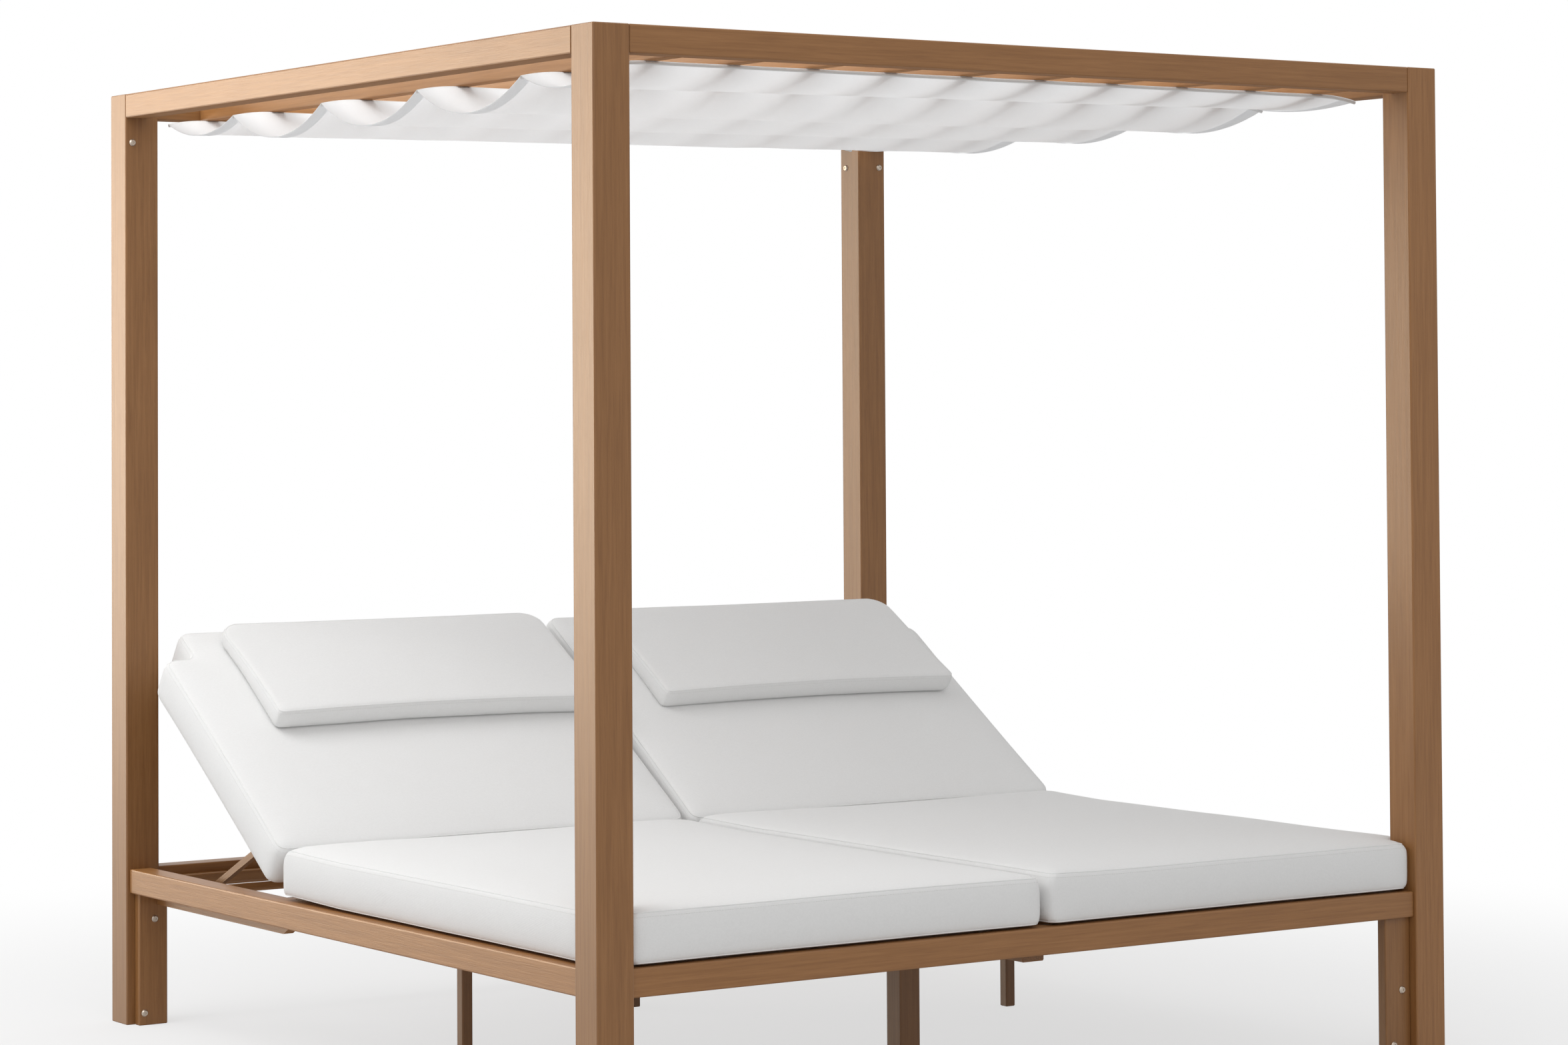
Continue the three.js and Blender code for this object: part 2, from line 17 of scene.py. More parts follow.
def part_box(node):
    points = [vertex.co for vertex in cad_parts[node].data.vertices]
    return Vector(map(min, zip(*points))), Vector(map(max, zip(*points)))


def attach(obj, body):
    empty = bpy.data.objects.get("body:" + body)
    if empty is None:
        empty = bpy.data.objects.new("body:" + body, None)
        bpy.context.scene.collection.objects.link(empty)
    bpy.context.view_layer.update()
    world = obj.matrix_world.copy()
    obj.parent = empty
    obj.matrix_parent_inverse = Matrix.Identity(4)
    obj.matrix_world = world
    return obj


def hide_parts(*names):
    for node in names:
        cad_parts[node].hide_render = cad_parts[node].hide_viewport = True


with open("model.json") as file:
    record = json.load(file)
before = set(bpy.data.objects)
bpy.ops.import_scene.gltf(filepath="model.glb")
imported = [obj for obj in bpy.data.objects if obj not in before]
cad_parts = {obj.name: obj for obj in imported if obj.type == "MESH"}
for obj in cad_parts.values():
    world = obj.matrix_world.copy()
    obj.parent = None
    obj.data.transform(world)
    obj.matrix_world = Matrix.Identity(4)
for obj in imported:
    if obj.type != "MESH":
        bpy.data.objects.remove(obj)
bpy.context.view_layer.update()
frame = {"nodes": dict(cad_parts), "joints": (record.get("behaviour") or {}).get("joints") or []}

# %% [markdown]
# Two helpers are used all through: one puts a new object into the scene, and one gives
# the mesh that a piece's modifiers make.


# %% Object helpers
def new_object(name, data):
    thing = bpy.data.objects.new(name, data)
    bpy.context.scene.collection.objects.link(thing)
    return thing


def made_mesh(piece):
    """The mesh that a piece's modifiers make."""
    evaluated = piece.evaluated_get(bpy.context.evaluated_depsgraph_get())
    return bpy.data.meshes.new_from_object(evaluated)


print("object helpers ready")

# %% [markdown]
# The camera comes first, so that every later step can be judged in the photograph's
# view. It stands low, to the left of the foot end, and looks slightly up through a long
# lens. The lens is shifted down, as an architect's camera is, so the upright posts stay
# upright in the picture.

# %% Camera
CAMERA_PLACE = Vector((-4.6476, -6.9744, 1.3284))
CAMERA_TURN = math.radians(34.12)
CAMERA_RISE = math.radians(1.566)
CAMERA_ROLL = math.radians(-0.339)
LENS = 91.99
SENSOR_WIDE = 36
SHIFT_UP = -0.149

lens = bpy.data.cameras.new("camera")
lens.sensor_width = SENSOR_WIDE
lens.lens = LENS
lens.shift_y = SHIFT_UP
camera = new_object("camera", lens)
bpy.context.scene.camera = camera
level = math.cos(CAMERA_RISE)
ahead = Vector((
    math.sin(CAMERA_TURN) * level, math.cos(CAMERA_TURN) * level, math.sin(CAMERA_RISE)))
level_right = ahead.cross(Vector((0, 0, 1))).normalized()
level_up = level_right.cross(ahead)
right = level_right * math.cos(CAMERA_ROLL) + level_up * math.sin(CAMERA_ROLL)
up = level_up * math.cos(CAMERA_ROLL) - level_right * math.sin(CAMERA_ROLL)
turn = Matrix((right, up, -ahead)).transposed().to_4x4()
camera.matrix_world = Matrix.Translation(CAMERA_PLACE) @ turn
bpy.context.scene.view_settings.view_transform = "Standard"
print("camera at", tuple(round(v, 2) for v in CAMERA_PLACE))

# %% [markdown]
# Materials are trees of nodes, and so are the geometry trees further on. A few helpers
# keep the trees short to read. Two make a node and give its inputs values or the outputs
# of other nodes. The rest each make one thing and give its output: a sum, a vector's
# parts, turned coordinates, a noise, a range, a ramp, a mix or a bump.


# %% Node helpers
def set_inputs(tree, node, inputs):
    """Gives each input, by name or number, a value or another node's output."""
    for name, value in inputs.items():
        if isinstance(value, bpy.types.NodeSocket):
            tree.links.new(value, node.inputs[name])
        else:
            node.inputs[name].default_value = value


def put(tree, kind, inputs=None, **settings):
    """A node with its settings and its inputs."""
    node = tree.nodes.new(kind)
    for name, value in settings.items():
        setattr(node, name, value)
    set_inputs(tree, node, inputs or {})
    return node


def figure(tree, operation, *values):
    """A sum on outputs or plain numbers."""
    return put(tree, "ShaderNodeMath", dict(enumerate(values)), operation=operation).outputs[0]


def apart(tree, vector):
    """The three parts of a vector."""
    return put(tree, "ShaderNodeSeparateXYZ", {0: vector}).outputs


def mapped(tree, vector, **inputs):
    """Coordinates turned or scaled."""
    return put(tree, "ShaderNodeMapping", {"Vector": vector, **inputs}).outputs["Vector"]


def speckle(tree, vector, **inputs):
    """A noise on coordinates."""
    return put(tree, "ShaderNodeTexNoise", {"Vector": vector, **inputs}).outputs["Fac"]


def spread(tree, value, least, most):
    """A value from 0 to 1 carried to another range."""
    inputs = {"Value": value, "To Min": least, "To Max": most}
    return put(tree, "ShaderNodeMapRange", inputs).outputs[0]


def ramp(tree, value, stops):
    """A colour ramp on a value, from pairs of a place and a colour."""
    node = put(tree, "ShaderNodeValToRGB", {"Fac": value})
    elements = node.color_ramp.elements
    while len(elements) < len(stops):
        elements.new(0.5)
    for element, (place, colour) in zip(elements, stops):
        element.position = place
        element.color = (*colour, 1)
    return node.outputs["Color"]


def mix_colours(tree, share, first, second, blend="MIX"):
    inputs = {0: share, 6: first, 7: second}
    return put(tree, "ShaderNodeMix", inputs, data_type="RGBA", blend_type=blend).outputs[2]


def mix_shaders(tree, share, first, second):
    return put(tree, "ShaderNodeMixShader", {0: share, 1: first, 2: second}).outputs[0]


def bump(tree, height, strength, distance, over=None):
    """Relief from a height, on top of another bump if there is one."""
    inputs = {"Height": height, "Strength": strength, "Distance": distance}
    if over:
        inputs["Normal"] = over
    return put(tree, "ShaderNodeBump", inputs).outputs["Normal"]


def start_material(name):
    """A new material, its tree and its main shader."""
    material = bpy.data.materials.new(name)
    material.use_nodes = True
    return material, material.node_tree, material.node_tree.nodes["Principled BSDF"]


print("node helpers ready")

# %% [markdown]
# The photograph was lit by a large, soft light on the left, in a white room. The
# timber's left faces are almost bleached, and the faces towards the foot are in calm
# shade. A lamp high on the left and an even pale surround give that, at a level at which
# a colour renders about as it is written. Softer lamps stand behind, above and at the
# foot, and one more shows only as a warm sheen on the left faces. The floor is a matt
# pale grey that the camera sees as white away from the daybed, so the daybed keeps its
# soft shadow.

# %% Studio
WHITE = (1, 1, 1, 1)
SURROUND = 0.58
FLOOR_TONE = 0.66
FLOOR_WHITE_NEAR = 0.66
FLOOR_FADE = (1.3, 3.4)
FLOOR_REACH = 40
SHEEN_TINT = (1.0, 0.82, 0.60)
# Each lamp's place, the point that it faces, its size and its power
LAMPS = {
    "window_left": ((-2.7, 0.6, 3.3), (0, 0, 0.6), 2.2, 56),
    "window_behind": ((-3.4, 4.6, 1.6), (0, 0, 1.0), 2.8, 26),
    "window_above": ((-0.3, 0, 4.6), (-0.3, 0, 0), 3.2, 40),
    "window_sheen": ((-6.0, 7.7, 1.5), (-0.5, 0, 1.0), 3.6, 500),
    "fill_foot": ((-1.8, -5.2, 3.9), (0, 0, 0.6), 3.0, 50),
}


def shown_directly(tree):
    """1 where the camera, or a mirror or glass, sees the surface."""
    rays = put(tree, "ShaderNodeLightPath").outputs
    seen = figure(tree, "MAXIMUM", rays["Is Camera Ray"], rays["Is Glossy Ray"])
    return figure(tree, "MAXIMUM", seen, rays["Is Transmission Ray"])


world = bpy.data.worlds.new("surround")
bpy.context.scene.world = world
world.use_nodes = True
tree = world.node_tree
tree.nodes.clear()
even = put(tree, "ShaderNodeBackground", {"Color": WHITE, "Strength": SURROUND})
white = put(tree, "ShaderNodeBackground", {"Color": WHITE, "Strength": 1.0})
mixed = mix_shaders(tree, shown_directly(tree), even.outputs[0], white.outputs[0])
put(tree, "ShaderNodeOutputWorld", {"Surface": mixed})

for name, (place, target, size, power) in LAMPS.items():
    data = bpy.data.lights.new(name, "AREA")
    data.size = size
    data.energy = power
    lamp = new_object(name, data)
    lamp.location = place
    lamp.rotation_euler = (Vector(target) - Vector(place)).to_track_quat("-Z", "Y").to_euler()
    if name == "window_sheen":
        data.color = SHEEN_TINT
        lamp.visible_diffuse = lamp.visible_transmission = False

floor_mesh = bpy.data.meshes.new("floor")
corners = [(x * FLOOR_REACH, y * FLOOR_REACH, 0) for x, y in ((-1, -1), (1, -1), (1, 1), (-1, 1))]
floor_mesh.from_pydata(corners, [], [(0, 1, 2, 3)])
floor = new_object("floor", floor_mesh)

floor_look, tree, shader = start_material("floor_look")
where = put(tree, "ShaderNodeTexCoord").outputs["Object"]
away = put(tree, "ShaderNodeVectorMath", {0: where}, operation="LENGTH").outputs["Value"]
fade = put(tree, "ShaderNodeMapRange", {
    "Value": away, "From Min": FLOOR_FADE[0], "From Max": FLOOR_FADE[1],
    "To Min": FLOOR_WHITE_NEAR, "To Max": 1.0}, interpolation_type="SMOOTHSTEP")
share = figure(tree, "MULTIPLY", shown_directly(tree), fade.outputs[0])
glow = put(tree, "ShaderNodeEmission", {"Color": WHITE, "Strength": 1.0})
mixed = mix_shaders(tree, share, shader.outputs[0], glow.outputs[0])
set_inputs(tree, shader, {"Base Color": (FLOOR_TONE, FLOOR_TONE, FLOOR_TONE, 1), "Roughness": 0.9})
set_inputs(tree, tree.nodes["Material Output"], {"Surface": mixed})
floor_mesh.materials.append(floor_look)

# %% [markdown]
# The timber is a planed, straight-grained hardwood with a thin matt oil. Its grain runs
# along each piece, so a look is made for each direction that the pieces run in. Each one
# stretches the same noise along its own axis: bands for the growth, fine streaks for the
# pores, and a tone of its own for every board. On the sawn ends the same rings show as
# specks, and the undersides are left duller. The bed's rails and the roof's slats are
# painted paler than the posts, as painted light from the floor and from the cloth, and the
# small legs are painted darker, as painted shade under the bed. A grain that is computed
# needs no picture, and stays sharp in a close view.

# %% Timber looks
TIMBER_DARK = (0.238, 0.104, 0.031)
TIMBER_MIDDLE = (0.268, 0.121, 0.038)
TIMBER_PALE = (0.300, 0.139, 0.047)
TIMBER_END = (0.170, 0.073, 0.022)
PORE_TONE = (0.84, 0.80, 0.76)
PORE_SHARE = 0.5
GRAIN_STRETCH = 0.03
BAND_SCALE = 150
PORE_SCALE = 520
BOARD_TONES = (0.90, 1.10)
TIMBER_GLOSS = 0.45
TIMBER_ROUGH = (0.36, 0.48)
UNDERSIDE_ROUGHER = 0.45
LOOKS_ALONG = 0.9
LOOKS_DOWN = -0.6
AXES = {"x": 0, "y": 1, "z": 2}


def along_grain(tree, where, axis, tilt):
    """Coordinates squeezed along the grain, so the noise on them runs that way."""
    scale = [1, 1, 1]
    scale[AXES[axis]] = GRAIN_STRETCH
    turned = mapped(tree, where.outputs["Object"], Rotation=(-tilt, 0, 0))
    return mapped(tree, turned, Scale=tuple(scale))


def sawn_end(tree, where, axis, tilt):
    """1 on the faces that lie across the grain."""
    turned = mapped(tree, where.outputs["Normal"], Rotation=(-tilt, 0, 0))
    size = figure(tree, "ABSOLUTE", apart(tree, turned)[axis.upper()])
    return figure(tree, "GREATER_THAN", size, LOOKS_ALONG)


def underside(tree, where):
    """1 on the faces that look down, which are left less finished."""
    return figure(tree, "LESS_THAN", apart(tree, where.outputs["Normal"])["Z"], LOOKS_DOWN)


def timber_look(name, axis, tilt=0.0, across=None, lightness=1.0):
    """Oiled timber with its grain along an axis.

    across is another axis and a test in nodes, for the members that run that way.
    """
    material, tree, shader = start_material(name)
    where = put(tree, "ShaderNodeTexCoord")
    grain = along_grain(tree, where, axis, tilt)
    if across:
        other_axis, crosses = across
        other = along_grain(tree, where, other_axis, tilt)
        inputs = {0: crosses(tree, where), 4: grain, 5: other}
        grain = put(tree, "ShaderNodeMix", inputs, data_type="VECTOR").outputs[1]
    bands = speckle(tree, grain, Scale=BAND_SCALE, Detail=3, Roughness=0.55, Distortion=0.5)
    pores = speckle(tree, grain, Scale=PORE_SCALE, Detail=2, Roughness=0.6)
    rings = speckle(tree, where.outputs["Object"], Scale=PORE_SCALE, Detail=2, Roughness=0.6)
    tones = ramp(tree, bands, [(0.33, TIMBER_DARK), (0.50, TIMBER_MIDDLE), (0.70, TIMBER_PALE)])
    streaks = ramp(tree, pores, [(0.36, PORE_TONE), (0.50, (1, 1, 1))])
    specks = ramp(tree, rings, [(0.40, TIMBER_END), (0.62, TIMBER_MIDDLE)])
    grained = mix_colours(tree, PORE_SHARE, tones, streaks, "MULTIPLY")
    board = put(tree, "ShaderNodeObjectInfo").outputs["Random"]
    # A lightness above 1 is painted light, and below 1 it is painted shade.
    own_tone = spread(tree, board, *(tone * lightness for tone in BOARD_TONES))
    toned = put(tree, "ShaderNodeHueSaturation", {"Color": grained, "Value": own_tone})
    ended = mix_colours(
        tree, sawn_end(tree, where, axis, tilt), toned.outputs["Color"], specks)
    dull = spread(tree, pores, *TIMBER_ROUGH)
    set_inputs(tree, shader, {
        "Base Color": ended, "Specular IOR Level": TIMBER_GLOSS,
        "Roughness": figure(
            tree, "MULTIPLY_ADD", underside(tree, where), UNDERSIDE_ROUGHER, dull),
        "Normal": bump(tree, pores, 0.35, 0.0006)})
    return material


def below(height):
    """A test that is 1 under a height, for battens under slats."""
    def test(tree, where):
        return figure(tree, "LESS_THAN", apart(tree, where.outputs["Object"])["Z"], height)
    return test


def between_rails(middle, half):
    """A test that is 1 between a frame's two side rails, for its slats."""
    def test(tree, where):
        side = figure(tree, "ABSOLUTE", apart(tree, where.outputs["Object"])["X"])
        return figure(tree, "COMPARE", side, middle, half)
    return test


# %% Timber of each kind
BACK_ANGLE = math.radians(33.5)
PROP_ANGLE = math.radians(-24.8)
DECK_SLAT_THICK = 0.018
FRAME_RAIL_WIDE = 0.025
# The bed's rails are painted paler, as painted light thrown up by the floor; the roof's slats
# paler, as painted light thrown up by the cloth; the small legs darker, as painted shade under the
# bed.
BED_RAIL_PAINTED_LIGHT, LEG_PAINTED_SHADE, SLAT_PAINTED_LIGHT = 1.16, 0.84, 1.30

deck_battens = below(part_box("bed_rail_left")[1].z - DECK_SLAT_THICK)
low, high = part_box("back_frame_right")
frame_slats = between_rails((low.x + high.x) / 2, (high.x - low.x) / 2 - FRAME_RAIL_WIDE)
looks = {axis: timber_look("timber_" + axis, axis) for axis in AXES}
deck_look = timber_look("timber_deck", "x", across=("y", deck_battens))
back_look = timber_look("timber_back_frame", "y", BACK_ANGLE, ("x", frame_slats))
prop_look = timber_look("timber_prop", "y", PROP_ANGLE)
rail_looks_painted_light = {
    axis: timber_look("timber_bed_rail_painted_light_" + axis, axis, lightness=BED_RAIL_PAINTED_LIGHT)
    for axis in "xy"}
leg_look_painted_shade = timber_look("timber_leg_painted_shade", "z", lightness=LEG_PAINTED_SHADE)
slat_look_painted_light = timber_look("timber_roof_slat_painted_light", "y", lightness=SLAT_PAINTED_LIGHT)
print("timber looks:", sum(m.name.startswith("timber_") for m in bpy.data.materials))

# %% [markdown]
# The pivot rods are plain steel rods, brushed along their length and a little dulled
# by the weather. The screws are the same metal, bronzed.

# %% Steel and bronze looks
STEEL_TONE, STEEL_ROUGH = (0.55, 0.55, 0.56, 1), (0.28, 0.46)
BRONZE_TONE, BRONZE_ROUGH = (0.50, 0.43, 0.36, 1), (0.40, 0.55)
BRUSH_STRETCH = 0.02
BRUSH_SCALE = 1800


def metal_look(name, tone, rough):
    """Brushed metal with a roughness between two values."""
    material, tree, shader = start_material(name)
    where = put(tree, "ShaderNodeTexCoord").outputs["Object"]
    brushed = mapped(tree, where, Scale=(BRUSH_STRETCH, 1, 1))
    marks = speckle(tree, brushed, Scale=BRUSH_SCALE, Detail=2)
    set_inputs(tree, shader, {
        "Base Color": tone, "Metallic": 1.0, "Roughness": spread(tree, marks, *rough),
        "Normal": bump(tree, marks, 0.1, 0.0002)})
    return material


steel_look = metal_look("steel_look", STEEL_TONE, STEEL_ROUGH)
bronze_look = metal_look("bronze_look", BRONZE_TONE, BRONZE_ROUGH)
print("metal looks: 2")

# %% Give every rigid node its look
LOOK_OF = {
    "post": looks["z"], "centre_leg": leg_look_painted_shade, "narrow_leg": leg_look_painted_shade, "leg_board": looks["z"],
    "top_rail_foot": looks["x"], "top_rail_head": looks["x"], "bed_rail_foot": rail_looks_painted_light["x"],
    "bed_rail_head": rail_looks_painted_light["x"], "head_ledger": looks["x"], "prop_bar": looks["x"],
    "top_rail": looks["y"], "bed_rail": rail_looks_painted_light["y"], "roof_slat": slat_look_painted_light,
    "centre_beam": looks["y"], "side_ledger": looks["y"], "rack": looks["y"],
    "seat_deck": deck_look, "back_frame": back_look, "prop_arm": prop_look,
    "hinge_rod": steel_look, "prop_rod": steel_look,
}
dressed = 0
for name, node in frame["nodes"].items():
    start = next((key for key in LOOK_OF if name.startswith(key)), None)
    if start:
        node.data.materials.clear()
        node.data.materials.append(LOOK_OF[start])
        dressed += 1
print("rigid nodes with a look:", dressed)

# %% [markdown]
# The covers are a plain white outdoor weave. The threads cross at right angles, so the
# height of the cloth is a product of sines in three directions, which gives the same
# small chequer on a top, a side and an end. A slow noise under it makes the faint
# unevenness of a filled cover.


# %% Cloth looks
CUSHION_TONE = (0.84, 0.84, 0.835)
CANOPY_TONE = (0.93, 0.935, 0.94)
CANOPY_GLOW = (0.93, 0.945, 0.96, 1)
CANOPY_THROUGH = 0.32
THREAD_TONE = (0.74, 0.74, 0.73, 1)
THREAD_PITCH = 0.0016
SLUB_DARKER = 0.975
CLOTH_ROUGH = (0.78, 0.92)
CLOTH_GLOSS, CLOTH_SHEEN = 0.08, 0.03


def weave(tree, vector, pitch):
    """Height of a plain weave, the same on any flat face."""
    turns = (2 * math.pi / pitch,) * 3
    scaled = put(tree, "ShaderNodeVectorMath", {0: vector, 1: turns}, operation="MULTIPLY")
    waves = put(tree, "ShaderNodeVectorMath", {0: scaled.outputs[0]}, operation="SINE")
    x, y, z = apart(tree, waves.outputs[0])
    total = figure(tree, "MULTIPLY", x, y)
    for one, two in ((y, z), (z, x)):
        total = figure(tree, "ADD", total, figure(tree, "MULTIPLY", one, two))
    return total


def cloth_look(name, tone, tilt=0.0, through=0.0):
    """Woven cloth. through is the share of light that passes a hanging sheet."""
    material, tree, shader = start_material(name)
    where = put(tree, "ShaderNodeTexCoord").outputs["Object"]
    turned = mapped(tree, where, Rotation=(-tilt, 0, 0))
    uneven = speckle(tree, turned, Scale=9, Detail=3, Roughness=0.5)
    slubs = speckle(tree, turned, Scale=260, Detail=1)
    darker = tuple(part * SLUB_DARKER for part in tone)
    coarse = bump(tree, uneven, 0.25, 0.004)
    fine = bump(tree, weave(tree, turned, THREAD_PITCH), 0.3, 0.0003, coarse)
    set_inputs(tree, shader, {
        "Base Color": ramp(tree, slubs, [(0.3, darker), (0.7, tone)]),
        "Roughness": spread(tree, slubs, *CLOTH_ROUGH), "Normal": fine,
        "Specular IOR Level": CLOTH_GLOSS, "Sheen Weight": CLOTH_SHEEN})
    if through:
        lit = put(tree, "ShaderNodeBsdfTranslucent", {"Color": CANOPY_GLOW, "Normal": fine})
        mixed = mix_shaders(tree, through, shader.outputs[0], lit.outputs[0])
        set_inputs(tree, tree.nodes["Material Output"], {"Surface": mixed})
    return material


seat_cloth = cloth_look("cushion_cloth_flat", CUSHION_TONE)
back_cloth = cloth_look("cushion_cloth_raised", CUSHION_TONE, BACK_ANGLE)
canopy_look = cloth_look("canopy_cloth_look", CANOPY_TONE, through=CANOPY_THROUGH)
thread_look, tree, shader = start_material("sewing_thread")
where = put(tree, "ShaderNodeTexCoord").outputs["Object"]
twist = put(tree, "ShaderNodeTexWave", {"Vector": where, "Scale": 700, "Distortion": 0.5})
relief = bump(tree, twist.outputs["Fac"], 0.3, 0.0002)
set_inputs(tree, shader, {"Base Color": THREAD_TONE, "Roughness": 0.7, "Normal": relief})
print("cloth looks: 3, and the thread")

# %% [markdown]
# Much of what follows repeats one small thing along a path or at many places: a seam
# cord, a row of stitches, a screw. Geometry Nodes do this best. The tree is built once
# with named inputs for its sizes, and run on a path or on points. Its result is kept as
# a plain mesh, because the export knows nothing of instances.


# %% Geometry Nodes helpers
def start_tree(name, numbers):
    """A node tree with one geometry in and out, and named number inputs."""
    tree = bpy.data.node_groups.new(name, "GeometryNodeTree")
    tree.interface.new_socket("Geometry", in_out="INPUT", socket_type="NodeSocketGeometry")
    for label, value in numbers.items():
        kind = "NodeSocketInt" if isinstance(value, int) else "NodeSocketFloat"
        tree.interface.new_socket(label, in_out="INPUT", socket_type=kind).default_value = value
    tree.interface.new_socket("Geometry", in_out="OUTPUT", socket_type="NodeSocketGeometry")
    return tree, put(tree, "NodeGroupInput"), put(tree, "NodeGroupOutput")


def end_tree(tree, result, made, material):
    """Closes a tree: instances made real, then the material."""
    real = put(tree, "GeometryNodeRealizeInstances", {"Geometry": made})
    inputs = {"Geometry": real.outputs["Geometry"], "Material": material}
    dressed = put(tree, "GeometryNodeSetMaterial", inputs)
    set_inputs(tree, result, {"Geometry": dressed.outputs["Geometry"]})


def lay(tree, points, thing, direction):
    """Copies of a thing on points, each with its Z along a direction."""
    turned = put(tree, "FunctionNodeAlignRotationToVector", {"Vector": direction}, axis="Z")
    laid = put(tree, "GeometryNodeInstanceOnPoints", {
        "Points": points, "Instance": thing, "Rotation": turned.outputs["Rotation"]})
    return laid.outputs["Instances"]


def run_tree(tree, name, points, edges=(), numbers=None, facing=None):
    """Runs a tree on points and edges, and keeps what it makes as a plain mesh object."""
    mesh = bpy.data.meshes.new(name)
    mesh.from_pydata([tuple(p) for p in points], list(edges), [])
    if facing:
        attribute = mesh.attributes.new("facing", "FLOAT_VECTOR", "POINT")
        attribute.data.foreach_set("vector", [v for way in facing for v in way])
    holder = new_object(name + "_path", mesh)
    modifier = holder.modifiers.new("tree", "NODES")
    modifier.node_group = tree
    for item in tree.interface.items_tree:
        if item.item_type == "SOCKET" and item.in_out == "INPUT" and item.name in (numbers or {}):
            modifier[item.identifier] = numbers[item.name]
    made = made_mesh(holder)
    bpy.data.objects.remove(holder)
    return new_object(name, made)


def shade(piece, angle=None):
    """Smooth shading, with edges above an angle kept crisp."""
    mesh = piece.data
    mesh.shade_smooth()
    if angle is not None:
        mesh.set_sharp_from_angle(angle=math.radians(angle))


print("node tree helpers ready")

# %% Tree: a cord along a path
cord_tree, entry, result = start_tree("cord_along_path", {"Radius": 0.001, "Sides": 8})
path = put(cord_tree, "GeometryNodeMeshToCurve", {"Mesh": entry.outputs["Geometry"]})
ring = put(cord_tree, "GeometryNodeCurvePrimitiveCircle", {
    "Radius": entry.outputs["Radius"], "Resolution": entry.outputs["Sides"]})
tube = put(cord_tree, "GeometryNodeCurveToMesh", {
    "Curve": path.outputs["Curve"], "Profile Curve": ring.outputs["Curve"], "Fill Caps": True})
end_tree(cord_tree, result, tube.outputs["Mesh"], thread_look)

# %% Tree: stitches along a path
stitch_tree, entry, result = start_tree(
    "stitches_along_path", {"Pitch": 0.0055, "Length": 0.0038, "Radius": 0.0004})
path = put(stitch_tree, "GeometryNodeMeshToCurve", {"Mesh": entry.outputs["Geometry"]})
spaced = put(stitch_tree, "GeometryNodeResampleCurve", {
    "Curve": path.outputs["Curve"], "Length": entry.outputs["Pitch"]}, mode="LENGTH")
thread = put(stitch_tree, "GeometryNodeMeshCylinder", {
    "Vertices": 6, "Radius": entry.outputs["Radius"], "Depth": entry.outputs["Length"]})
way = put(stitch_tree, "GeometryNodeInputTangent")
laid = lay(
    stitch_tree, spaced.outputs["Curve"], thread.outputs["Mesh"], way.outputs["Tangent"])
end_tree(stitch_tree, result, laid, thread_look)

# %% Tree: socket screws at places
RIM_SHARE = 0.72
screw_tree, entry, result = start_tree(
    "socket_screws", {"Radius": 0.0075, "Height": 0.003, "Socket": 0.003})
radius, tall = entry.outputs["Radius"], entry.outputs["Height"]
head = put(screw_tree, "GeometryNodeMeshCone", {
    "Vertices": 24, "Side Segments": 1, "Radius Bottom": radius, "Depth": tall,
    "Radius Top": figure(screw_tree, "MULTIPLY", radius, RIM_SHARE)})
hexagon = put(screw_tree, "GeometryNodeMeshCylinder", {
    "Vertices": 6, "Radius": entry.outputs["Socket"], "Depth": tall})
lift = put(screw_tree, "ShaderNodeCombineXYZ", {"Z": tall})
raised = put(screw_tree, "GeometryNodeTransform", {
    "Geometry": hexagon.outputs["Mesh"], "Translation": lift.outputs[0]})
hollowed = put(screw_tree, "GeometryNodeMeshBoolean", {
    "Mesh 1": head.outputs["Mesh"], "Mesh 2": raised.outputs["Geometry"]}, operation="DIFFERENCE")
facing = put(
    screw_tree, "GeometryNodeInputNamedAttribute", {"Name": "facing"}, data_type="FLOAT_VECTOR")
driven = lay(screw_tree, entry.outputs["Geometry"], hollowed.outputs["Mesh"],
             facing.outputs["Attribute"])
end_tree(screw_tree, result, driven, bronze_look)
print("trees: cord, stitches, screws")

# %% [markdown]
# The canopy is one sheet of cloth that hangs in five waves between rods pushed up under
# the roof slats. Between two rods a cloth hangs almost in a parabola, so the wave is a
# rule, and a node tree follows it: one bay is a grid bent down by its sag, five bays are
# joined into one sheet, the free side edges droop, and slow folds run down each wave.

# %% Tree: one bay of the canopy
CLOTH_THICK = 0.0012
# Each bay's length and sag
BAYS = ((0.290, 0.030), (0.397, 0.056), (0.397, 0.056), (0.397, 0.056), (0.312, 0.032))
BAY_GRID = (181, 33)
sheet_low, sheet_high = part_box("canopy_cloth")
SHEET_WIDE = sheet_high.x - sheet_low.x
bay_tree, entry, result = start_tree(
    "canopy_bay", {"Wide": 1.8, "Start": 0.0, "Long": 0.4, "Sag": 0.05})
grid = put(bay_tree, "GeometryNodeMeshGrid", {
    "Size X": entry.outputs["Wide"], "Size Y": 1.0,
    "Vertices X": BAY_GRID[0], "Vertices Y": BAY_GRID[1]})
x, y, _ = apart(bay_tree, put(bay_tree, "GeometryNodeInputPosition").outputs["Position"])
along = figure(bay_tree, "ADD", y, 0.5)
rest = figure(bay_tree, "SUBTRACT", 1.0, along)
swing = figure(bay_tree, "MULTIPLY", figure(bay_tree, "MULTIPLY", along, rest), 4.0)
drop = figure(bay_tree, "MULTIPLY", swing, entry.outputs["Sag"])
target = put(bay_tree, "ShaderNodeCombineXYZ", {
    "X": x, "Z": figure(bay_tree, "MULTIPLY", drop, -1.0),
    "Y": figure(
        bay_tree, "MULTIPLY_ADD", along, entry.outputs["Long"], entry.outputs["Start"])})
marked = put(bay_tree, "GeometryNodeStoreNamedAttribute", {
    "Geometry": grid.outputs["Mesh"], "Name": "swing", "Value": swing},
    data_type="FLOAT", domain="POINT")
bent = put(bay_tree, "GeometryNodeSetPosition", {
    "Geometry": marked.outputs["Geometry"], "Position": target.outputs[0]})
set_inputs(bay_tree, result, {"Geometry": bent.outputs["Geometry"]})
print("tree: one bay")

